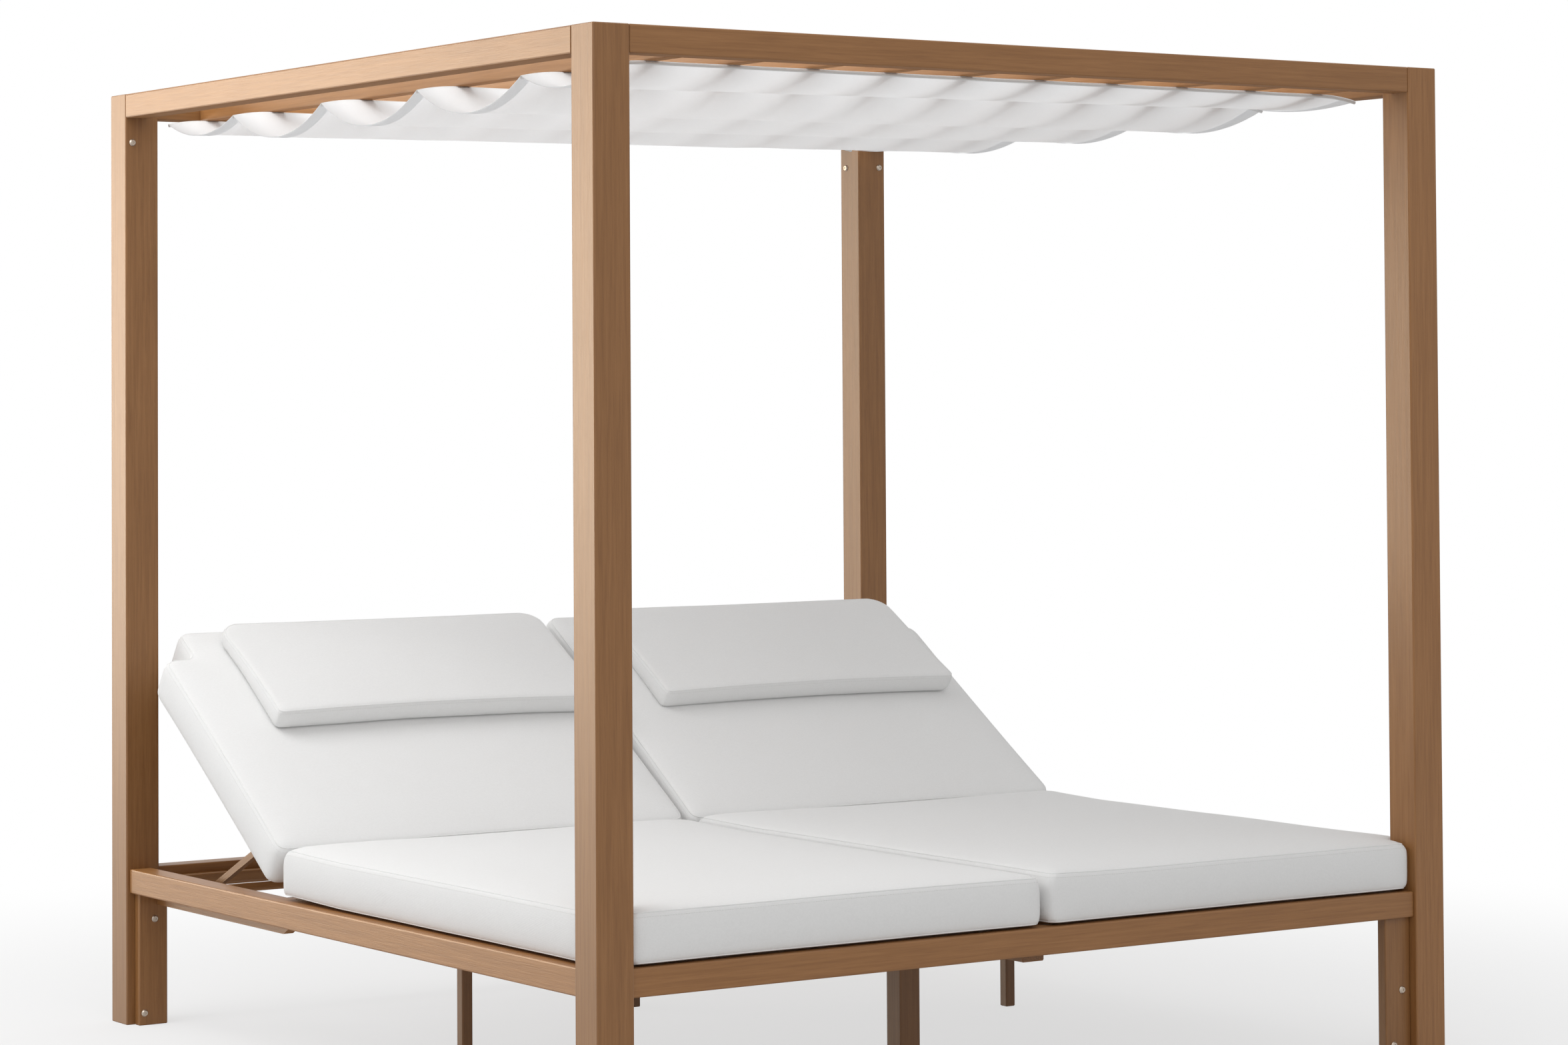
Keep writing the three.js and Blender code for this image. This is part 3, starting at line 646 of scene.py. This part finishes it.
# %% Tree: the whole canopy
HEM_FOLD = 0.03
HEM_GAP = CLOTH_THICK * 1.3
EDGE_DROOP = 0.010
SEWN_WITHIN = 0.0001
SLAT_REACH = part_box("roof_slat_10")[1].x
SLAT_PITCH = (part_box("roof_slat_10")[0].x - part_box("roof_slat_01")[0].x) / 9
canopy_tree, entry, result = start_tree("canopy", {
    "Edge droop": EDGE_DROOP, "Slat sag": 0.0004, "Lean": 0.010, "Fold": 0.004,
    "Hem": HEM_FOLD, "Top": 1.9})
gathered = put(canopy_tree, "GeometryNodeJoinGeometry")
begin = sheet_low.y
for long, sag in BAYS:
    sizes = {"Wide": SHEET_WIDE, "Start": begin, "Long": long, "Sag": sag}
    bay = put(canopy_tree, "GeometryNodeGroup", sizes, node_tree=bay_tree)
    set_inputs(canopy_tree, gathered, {"Geometry": bay.outputs["Geometry"]})
    begin += long
sewn = put(canopy_tree, "GeometryNodeMergeByDistance", {
    "Geometry": gathered.outputs["Geometry"], "Distance": SEWN_WITHIN})
spot = put(canopy_tree, "GeometryNodeInputPosition").outputs["Position"]
marked = put(
    canopy_tree, "GeometryNodeInputNamedAttribute", {"Name": "swing"}, data_type="FLOAT")
swing = marked.outputs["Attribute"]


def sums(operation, *values):
    return figure(canopy_tree, operation, *values)


def times(first, *others):
    """The product of two or more values."""
    for other in others:
        first = sums("MULTIPLY", first, other)
    return first


x = apart(canopy_tree, spot)["X"]
side = sums("ABSOLUTE", x)
beyond = sums("DIVIDE", sums("SUBTRACT", side, SLAT_REACH), SHEET_WIDE / 2 - SLAT_REACH)
past = sums("MAXIMUM", beyond, 0.0)
at_crest = sums("SUBTRACT", 1.0, swing)
edge_fall = times(past, past, at_crest, entry.outputs["Edge droop"])
wave = sums("SINE", times(sums("ADD", x, SLAT_PITCH / 2), math.pi / SLAT_PITCH))
held = sums("POWER", at_crest, 3.0)
on_slats = sums("MAXIMUM", sums("SUBTRACT", 1.0, past), 0.0)
slat_fall = times(wave, wave, held, times(entry.outputs["Slat sag"], on_slats))
lean_fall = times(x, -2 / SHEET_WIDE, entry.outputs["Lean"], swing)
fold_place = put(
    canopy_tree, "ShaderNodeVectorMath", {0: spot, 1: (1.0, 0.35, 0.0)}, operation="MULTIPLY")
folds = speckle(canopy_tree, fold_place.outputs[0], Scale=5.0, Detail=1.0, Roughness=0.4)
fold_fall = times(sums("SUBTRACT", folds, 0.5), entry.outputs["Fold"], swing)
fall = sums("ADD", sums("ADD", edge_fall, slat_fall), sums("ADD", fold_fall, lean_fall))
offset = put(
    canopy_tree, "ShaderNodeCombineXYZ", {"Z": sums("SUBTRACT", entry.outputs["Top"], fall)})
hung = put(canopy_tree, "GeometryNodeSetPosition", {
    "Geometry": sewn.outputs["Geometry"], "Offset": offset.outputs[0]}).outputs["Geometry"]
in_hem = sums("GREATER_THAN", side, sums("SUBTRACT", SHEET_WIDE / 2, entry.outputs["Hem"]))
hem = put(canopy_tree, "GeometryNodeSeparateGeometry", {
    "Geometry": hung, "Selection": in_hem}, domain="FACE")
folded = put(canopy_tree, "GeometryNodeSetPosition", {
    "Geometry": hem.outputs["Selection"], "Offset": (0, 0, -HEM_GAP)})
both = put(canopy_tree, "GeometryNodeJoinGeometry", {"Geometry": hung})
set_inputs(canopy_tree, both, {"Geometry": folded.outputs["Geometry"]})
end_tree(canopy_tree, result, both.outputs["Geometry"], canopy_look)
print("canopy: wave of", len(BAYS), "bays over", round(begin - sheet_low.y, 3), "m")

# %% [markdown]
# Run with a single point, the tree gives the sheet. A cloth is so thin that one layer
# of faces stands for it, and light can pass through it in one step. Only the hems are
# double, where the cloth is folded back and sewn.

# %% Hang the canopy
canopy = run_tree(canopy_tree, "canopy_sheet", [(0, 0, 0)], numbers={"Top": sheet_high.z})
shade(canopy, 50)


# %% Rods and hems of the canopy
ROD_RADIUS = 0.0025
POCKET_RADIUS = 0.0034
ROD_SIDES = 12
ROD_POINTS = 61
ROD_END_GAP = 0.003


def droop(x):
    """How far the free side of the cloth hangs below the slats."""
    past = max(abs(x) - SLAT_REACH, 0) / (SHEET_WIDE / 2 - SLAT_REACH)
    return EDGE_DROOP * past * past


def crest_lines(reach):
    """Points and edges of one line along each crest, as long as twice the reach."""
    points, edges = [], []
    for y in crests:
        inset = ROD_RADIUS if y == crests[0] else -ROD_RADIUS if y == crests[-1] else 0
        first = len(points)
        for x in np.linspace(-reach, reach, ROD_POINTS):
            z = sheet_high.z - droop(float(x)) - CLOTH_THICK - ROD_RADIUS
            points.append((float(x), y + inset, z))
        edges.extend((i, i + 1) for i in range(first, len(points) - 1))
    return points, edges


crests = [sheet_low.y]
for long, _ in BAYS:
    crests.append(crests[-1] + long)
rods = run_tree(cord_tree, "canopy_rods", *crest_lines(SHEET_WIDE / 2 - ROD_END_GAP),
                {"Radius": ROD_RADIUS, "Sides": ROD_SIDES})
pockets = run_tree(cord_tree, "canopy_rod_pockets", *crest_lines(SHEET_WIDE / 2),
                   {"Radius": POCKET_RADIUS, "Sides": ROD_SIDES})
rods.data.materials[0] = steel_look
pockets.data.materials[0] = seat_cloth
for piece in (rods, pockets):
    shade(piece, 50)
    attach(piece, "bed")
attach(canopy, "bed")
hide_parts("canopy_cloth")
print("canopy rods:", len(crests))

# %% [markdown]
# The cushions are filled covers sewn from flat panels: a top, a bottom and a band round
# the sides. A cushion could be a rounded box, but a filled cover is never flat. So each
# one starts as a closed block on its solid's plan, a little smaller, which is remeshed
# to even squares and given its crown. Blender's cloth then blows it up with pressure
# and no gravity, while the sewn edges and the underside are held, so the panels belly
# out between the seams. The result is kept and the cloth is taken off. The seat and
# back cushions are made once and mirrored, and each one then gets its own unevenness.

# %% A cushion's plan and block
CORNER_STEPS = 6
EDGE_STEPS = 4
hinge = next(j for j in frame["joints"] if j["name"] == "back_left_hinge")
LEAN = Matrix.Translation((0, *hinge["pos_m"][1:])) @ Matrix.Rotation(BACK_ANGLE, 4, "X")
LEVEL = Matrix.Identity(4)


def own_box(node, own_place):
    """A node's lowest and highest corners in a frame of its own."""
    turned = own_place.inverted()
    points = np.array([turned @ v.co for v in frame["nodes"][node].data.vertices])
    return Vector(points.min(0)), Vector(points.max(0))


def cushion_block(name, outline, low, high, edges):
    """A closed block on a plan of points with a corner radius each.

    edges are its top and bottom edge radius.
    """
    work = bmesh.new()
    verts = [work.verts.new((x, y, low)) for x, y, radius in outline]
    work.faces.new(verts)
    for radius in sorted({point[2] for point in outline}):
        chosen = [v for v, point in zip(verts, outline) if point[2] == radius]
        bmesh.ops.bevel(
            work, geom=chosen, affect="VERTICES", offset=radius, segments=CORNER_STEPS,
            profile=0.5)
    raised = bmesh.ops.extrude_face_region(work, geom=work.faces[:][:1])
    top = [v for v in raised["geom"] if isinstance(v, bmesh.types.BMVert)]
    bmesh.ops.translate(work, verts=top, vec=(0, 0, high - low))
    for level, radius in zip((high, low), edges):
        chosen = [e for e in work.edges if max(abs(v.co.z - level) for v in e.verts) < 0.0001]
        bmesh.ops.bevel(
            work, geom=chosen, affect="EDGES", offset=radius, segments=EDGE_STEPS, profile=0.5)
    bmesh.ops.recalc_face_normals(work, faces=work.faces)
    mesh = bpy.data.meshes.new(name)
    work.to_mesh(mesh)
    work.free()
    return new_object(name, mesh)


def coordinates(mesh):
    flat = np.zeros(len(mesh.vertices) * 3)
    mesh.vertices.foreach_get("co", flat)
    return flat.reshape(-1, 3)


def normals(mesh):
    flat = np.zeros(len(mesh.vertices) * 3, np.float32)
    mesh.vertex_normals.foreach_get("vector", flat)
    return flat.reshape(-1, 3).astype(float)


def keep_modifiers(piece):
    """Turns the piece's modifiers into its mesh."""
    made = made_mesh(piece)
    piece.modifiers.clear()
    piece.data = made


def relative(place, low, high):
    """A place as a number from -1 at low to 1 at high."""
    return (place * 2 - low - high) / (high - low)


def bulge(share):
    """1 in the middle, and 0 at -1 and 1."""
    return 1 - np.minimum(share * share, 1)


print("cushion blocks ready")

# %% Filling a cushion
SIM_FRAMES = 20
SEAM_SHARE = 0.3
SIDE_PULL = 0.004
SMOOTH_PASSES = 2
COVER_SETTINGS = {
    "quality": 4, "mass": 0.3, "tension_stiffness": 12, "compression_stiffness": 12,
    "bending_stiffness": 0.4, "use_pressure": True, "uniform_pressure_force": 4.0,
    "vertex_group_mass": "sewn",
}


def blow_up(piece, before, held, cap):
    """Blows a cover up from its points before, and keeps no more of the way than cap."""
    group = piece.vertex_groups.new(name="sewn")
    group.add(np.nonzero(held)[0].tolist(), 1.0, "REPLACE")
    cloth = piece.modifiers.new("cloth", "CLOTH")
    for setting, value in COVER_SETTINGS.items():
        setattr(cloth.settings, setting, value)
    cloth.settings.effector_weights.gravity = 0
    for number in range(1, SIM_FRAMES + 1):
        bpy.context.scene.frame_set(number)
    blown = made_mesh(piece)
    piece.modifiers.clear()
    bpy.context.scene.frame_set(1)
    moved = coordinates(blown) - before
    far = np.linalg.norm(moved, axis=1, keepdims=True)
    after = before + moved * (cap * np.tanh(far / cap) / np.maximum(far, 1e-9))
    piece.data.vertices.foreach_set("co", after.ravel())
    most = round(float(far.max()) * 1000, 1)
    print(piece.name, "blown up by", most, "mm at most, kept to", cap * 1000)


def fill_cushion(name, outline, low, high, edges, crown, voxel, smaller, cap,
                 thin=0.0, end_round=0.0, lift=None):
    """A filled cushion in its own frame.

    Its attribute height keeps each point's place up the flat block.
    """
    piece = cushion_block(name, outline, low, high, edges)
    squares = piece.modifiers.new("squares", "REMESH")
    squares.mode = "VOXEL"
    squares.voxel_size = voxel
    keep_modifiers(piece)
    mesh = piece.data
    block = coordinates(mesh)
    attribute = mesh.attributes.new("height", "FLOAT", "POINT")
    attribute.data.foreach_set("value", block[:, 2].astype(np.float32))
    seams = (high - edges[0] * SEAM_SHARE, low + edges[1] * SEAM_SHARE)
    held = block[:, 2] < low + voxel * 0.4
    for seam in seams:
        held |= np.abs(block[:, 2] - seam) < voxel * 0.5
    before = block - normals(mesh) * smaller
    plan_low, plan_high = block.min(0), block.max(0)
    across = relative(before[:, 0], plan_low[0], plan_high[0])
    along = relative(before[:, 1], plan_low[1], plan_high[1])
    up = (before[:, 2] - low) / (high - low)
    before[:, 0] -= np.sign(across) * SIDE_PULL * bulge(along) * np.abs(across)
    before[:, 1] -= np.sign(along) * SIDE_PULL * bulge(across) * np.abs(along)
    before[:, 2] = low + (before[:, 2] - low) * (1 - thin * (along + 1) / 2)
    before[:, 2] += crown * bulge(across) * bulge(along) * up
    if end_round:
        inside = end_round - np.clip(plan_high[1] - before[:, 1], 0, end_round)
        before[:, 2] -= (end_round - np.sqrt(end_round ** 2 - inside ** 2)) * up
    if lift:
        before[:, 2] += lift(before[:, 0], before[:, 1])
    mesh.vertices.foreach_set("co", before.ravel())
    mesh.update()
    blow_up(piece, before, held, cap)
    work = bmesh.new()
    work.from_mesh(piece.data)
    for _ in range(SMOOTH_PASSES):
        bmesh.ops.smooth_vert(
            work, verts=work.verts, factor=0.5, use_axis_x=True, use_axis_y=True,
            use_axis_z=True)
    work.to_mesh(piece.data)
    work.free()
    piece["seams"] = seams
    return piece


def mirrored(piece, name, shift=0.0):
    """The same cushion for the other side of the bed."""
    twin = piece.copy()
    twin.data = piece.data.copy()
    twin.name = name
    bpy.context.scene.collection.objects.link(twin)
    other_side = Matrix.Translation((shift, 0, 0)) @ Matrix.Scale(-1, 4, (1, 0, 0))
    work = bmesh.new()
    work.from_mesh(twin.data)
    bmesh.ops.transform(work, matrix=other_side, verts=work.verts)
    bmesh.ops.reverse_faces(work, faces=work.faces)
    work.to_mesh(twin.data)
    work.free()
    return twin


NOISE_STEPS = (7.3, 3.1, 5.7)


def unevenness(piece, seed, depth, size):
    """Moves the surface in by a slow, fixed noise, so no two cushions are alike."""
    mesh = piece.data
    points, ways = coordinates(mesh), normals(mesh)
    drift = Vector([seed * step for step in NOISE_STEPS])
    inward = np.array([noise.noise(Vector(p) / size + drift) for p in points]) * 0.5 + 0.5
    mesh.vertices.foreach_set("co", (points - ways * (inward * depth)[:, None]).ravel())
    mesh.update()


# %% Fill the cushions
PAD_EDGES = (0.022, 0.010)
HEAD_EDGES = (0.010, 0.022)
SOFT_CORNER = 0.024
TIGHT_CORNER = 0.008
NOTCH_GAP = 0.002
SEAT_CROWN, SEAT_SWELL = 0.008, 0.006
END_FULLER, END_FROM, END_OVER = 0.006, 0.8, 0.2
SEAM_REACH = 0.30
SEAM_RISE = {"seat_left": -0.003, "seat_right": 0.006}
BACK_CROWN, BACK_SWELL = 0.007, 0.004
BACK_NOTCH = (0.066, 0.094)
HEAD_FRONT, HEAD_TOP_END = 0.058, 0.038
HEAD_FAR_CORNER, HEAD_NEAR_CORNER = 0.050, 0.014
HEAD_SHORTER = 0.010
HEAD_GAP = 0.0005


def plan(points):
    """An outline from pairs, with the soft corner radius where none is given."""
    return [point if len(point) == 3 else (*point, SOFT_CORNER) for point in points]


seat_low, seat_high = own_box("seat_cushion_left", LEVEL)
seat_high.y += SEAT_SWELL
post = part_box("post_foot_left")[1]
notch_x, notch_y = post.x + NOTCH_GAP, post.y + NOTCH_GAP
seat_plan = plan([
    (seat_high.x, seat_low.y), (seat_high.x, seat_high.y), (seat_low.x, seat_high.y),
    (seat_low.x, notch_y, TIGHT_CORNER), (notch_x, notch_y), (notch_x, seat_low.y, TIGHT_CORNER)])


def fuller_at_head(x, y):
    """The seat swells a little where the raised back cushion presses on its end."""
    along = np.clip((y - seat_low.y) / (seat_high.y - seat_low.y), 0, 1)
    return END_FULLER * np.clip((along - END_FROM) / END_OVER, 0, 1)


def tip_at_seam(piece, rise):
    """Lifts or drops the top toward the middle of the bed, as two neighbours never lie level."""
    points = coordinates(piece.data)
    near = np.clip(1 - np.abs(points[:, 0]) / SEAM_REACH, 0, 1) ** 2
    share = (points[:, 2] - points[:, 2].min()) / np.ptp(points[:, 2])
    points[:, 2] += rise * near * share
    piece.data.vertices.foreach_set("co", points.ravel())
    piece.data.update()


cushions = {}
cushions["seat_left"] = fill_cushion(
    "seat_pad_left", seat_plan, seat_low.z, seat_high.z - SEAT_CROWN, PAD_EDGES,
    crown=0.009, voxel=0.0112, smaller=0.002, cap=0.007, end_round=0.042, lift=fuller_at_head)
cushions["seat_right"] = mirrored(cushions["seat_left"], "seat_pad_right")
for seat, rise in SEAM_RISE.items():
    tip_at_seam(cushions[seat], rise)

back_low, back_high = own_box("back_cushion_left", LEAN)
back_top = back_high.z - BACK_CROWN
notch_x, notch_y = back_low.x + BACK_NOTCH[0], back_high.y - BACK_NOTCH[1]
outer_x = back_low.x - BACK_SWELL
back_plan = plan([
    (back_high.x, back_low.y), (back_high.x, back_high.y), (notch_x, back_high.y),
    (notch_x, notch_y, TIGHT_CORNER), (outer_x, notch_y), (outer_x, back_low.y)])
cushions["back_left"] = fill_cushion(
    "back_pad_left", back_plan, back_low.z, back_top, PAD_EDGES,
    crown=0.005, voxel=0.0105, smaller=0.001, cap=0.007)
cushions["back_right"] = mirrored(cushions["back_left"], "back_pad_right")


def over_back(x, y):
    """Height of the back cushion's crown under a point of the head cushion."""
    across = relative(x, back_low.x, back_high.x)
    along = relative(y, back_low.y, back_high.y)
    return BACK_CROWN * bulge(across) * bulge(along)


head_low, head_high = own_box("head_cushion_left", LEAN)
head_far = head_high.y - HEAD_SHORTER
head_plan = [
    (head_high.x, head_low.y, HEAD_NEAR_CORNER), (head_high.x, head_far, HEAD_FAR_CORNER),
    (head_low.x, head_far, HEAD_FAR_CORNER), (head_low.x, head_low.y, HEAD_NEAR_CORNER)]
cushions["head_left"] = fill_cushion(
    "head_pad_left", head_plan, back_top + HEAD_GAP, back_top + HEAD_FRONT, HEAD_EDGES,
    crown=0.006, voxel=0.0075, smaller=0.001, cap=0.006,
    thin=1 - HEAD_TOP_END / HEAD_FRONT, lift=over_back)
head_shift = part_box("head_cushion_right")[0].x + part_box("head_cushion_left")[1].x
cushions["head_right"] = mirrored(cushions["head_left"], "head_pad_right", head_shift)
print("cushions:", {k: len(p.data.polygons) for k, p in cushions.items()})

# %% [markdown]
# The covers are sewn along their edges. A seam runs at one height round the flat block
# that the cushion started from, and every point remembers that height. So the seam is
# the line in which a level plane cuts the block, carried to the filled shape. A fine
# welt lies on it, with a row of stitches just below.


# %% Seams
def seam_line(mesh, height, spacing):
    """Evenly spaced points of the longest line at one remembered height."""
    work = bmesh.new()
    work.from_mesh(mesh)
    remembered = work.verts.layers.float["height"]
    real = work.verts.layers.float_vector.new("real")
    for v in work.verts:
        v[real] = v.co
        v.co.z = v[remembered]
    everything = work.verts[:] + work.edges[:] + work.faces[:]
    bmesh.ops.bisect_plane(
        work, geom=everything, plane_co=(0, 0, height), plane_no=(0, 0, 1), clear_inner=True,
        clear_outer=True)
    unused, best = dict.fromkeys(work.verts), []
    while unused:
        here = next(iter(unused))
        del unused[here]
        loop = [here]
        while True:
            nexts = [e.other_vert(here) for e in here.link_edges if e.other_vert(here) in unused]
            if not nexts:
                break
            here = nexts[0]
            del unused[here]
            loop.append(here)
        if len(loop) > len(best):
            best = loop
    points = np.array([v[real] for v in best])
    work.free()
    closed = np.vstack([points, points[:1]])
    steps = np.concatenate([[0], np.cumsum(np.linalg.norm(np.diff(closed, axis=0), axis=1))])
    places = np.linspace(0, steps[-1], int(steps[-1] / spacing), endpoint=False)
    return np.stack([np.interp(places, steps, closed[:, i]) for i in range(3)], axis=1)


def ring_edges(count, first=0):
    return [(first + i, first + (i + 1) % count) for i in range(count)]


WELT_RADIUS = 0.0013
STITCH_DROP = 0.0075
SEAM_SPACING = 0.006
UNEVEN_DEPTH = 0.002
# Each kind's frame, its cover and the size of its unevenness
CUSHION_KINDS = {
    "seat": (LEVEL, seat_cloth, 0.28),
    "back": (LEAN, back_cloth, 0.26),
    "head": (LEAN, back_cloth, 0.17),
}
for seed, (key, piece) in enumerate(cushions.items(), 1):
    kind, side = key.split("_")
    own_place, look, size = CUSHION_KINDS[kind]
    body = "bed" if kind == "seat" else "cushion_" + side
    node = kind + "_cushion_" + side
    finer = piece.modifiers.new("finer", "SUBSURF")
    finer.levels = finer.render_levels = 1
    keep_modifiers(piece)
    unevenness(piece, seed, UNEVEN_DEPTH, size)
    points, edges, stitch_points, stitch_edges = [], [], [], []
    for number, seam in enumerate(piece["seams"]):
        loop = seam_line(piece.data, seam, SEAM_SPACING)
        edges += ring_edges(len(loop), len(points))
        points += [tuple(p) for p in loop]
        if number == 0:
            row = seam_line(piece.data, seam - STITCH_DROP, SEAM_SPACING)
            stitch_edges += ring_edges(len(row), len(stitch_points))
            stitch_points += [tuple(p) for p in row]
    welt = run_tree(cord_tree, key + "_welt", points, edges, {"Radius": WELT_RADIUS, "Sides": 8})
    sewing = run_tree(stitch_tree, key + "_stitches", stitch_points, stitch_edges)
    welt.data.materials[0] = look
    for part in (piece, welt, sewing):
        part.data.transform(own_place)
        part.data.update()
        shade(part)
        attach(part, body)
    piece.data.materials.clear()
    piece.data.materials.append(look)
    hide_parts(node)
print("seams sewn:", len(cushions) * 2)

# %% [markdown]
# Countersunk socket screws hold the leg boards to the posts and the roof's rails to the
# post tops. They are bronzed, so they stand out little from the timber.

# %% Screws
HALF = 1.0
POST_SIDE = 0.076
SCREW_LIFT = 0.0008
TOP_SCREW_HIGH = 1.886
TOP_SCREW_IN = (0.016, 0.023)
# Places of screws, in from a board's outer edge and up from the floor
SIDE_BOARD = ((0.036, 0.225), (0.012, 0.026))
FOOT_BOARD = ((0.023, 0.135), (0.046, 0.026))
# The way along y that each board's screws face, and their places
BOARD_SCREWS = {
    "leg_board_foot_left": (1, SIDE_BOARD),
    "leg_board_head_left": (-1, SIDE_BOARD),
    "leg_board_head_right": (-1, SIDE_BOARD),
    "leg_board_foot_right": (-1, FOOT_BOARD),
}
screw_places, screw_ways = [], []


def screw(x, y, z, way):
    """Notes a screw on a face that looks one way."""
    screw_places.append(tuple(v + w * SCREW_LIFT for v, w in zip((x, y, z), way)))
    screw_ways.append(way)


inner = HALF - POST_SIDE
for side in (-1, 1):
    for end in (-1, 1):
        screw(side * (HALF - TOP_SCREW_IN[0]), end * inner, TOP_SCREW_HIGH, (0, -end, 0))
        if end > 0:
            screw(side * inner, HALF - TOP_SCREW_IN[1], TOP_SCREW_HIGH, (-side, 0, 0))
for node, (way, places) in BOARD_SCREWS.items():
    low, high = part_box(node)
    outer = 1 if "right" in node else -1
    edge = high.x if outer > 0 else low.x
    face = high.y if way > 0 else low.y
    for inward, rise in places:
        screw(edge - outer * inward, face, rise, (0, way, 0))
screws = run_tree(screw_tree, "frame_screws", screw_places, facing=screw_ways)
shade(screws, 30)
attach(screws, "bed")
print("frame screws:", len(screw_places))
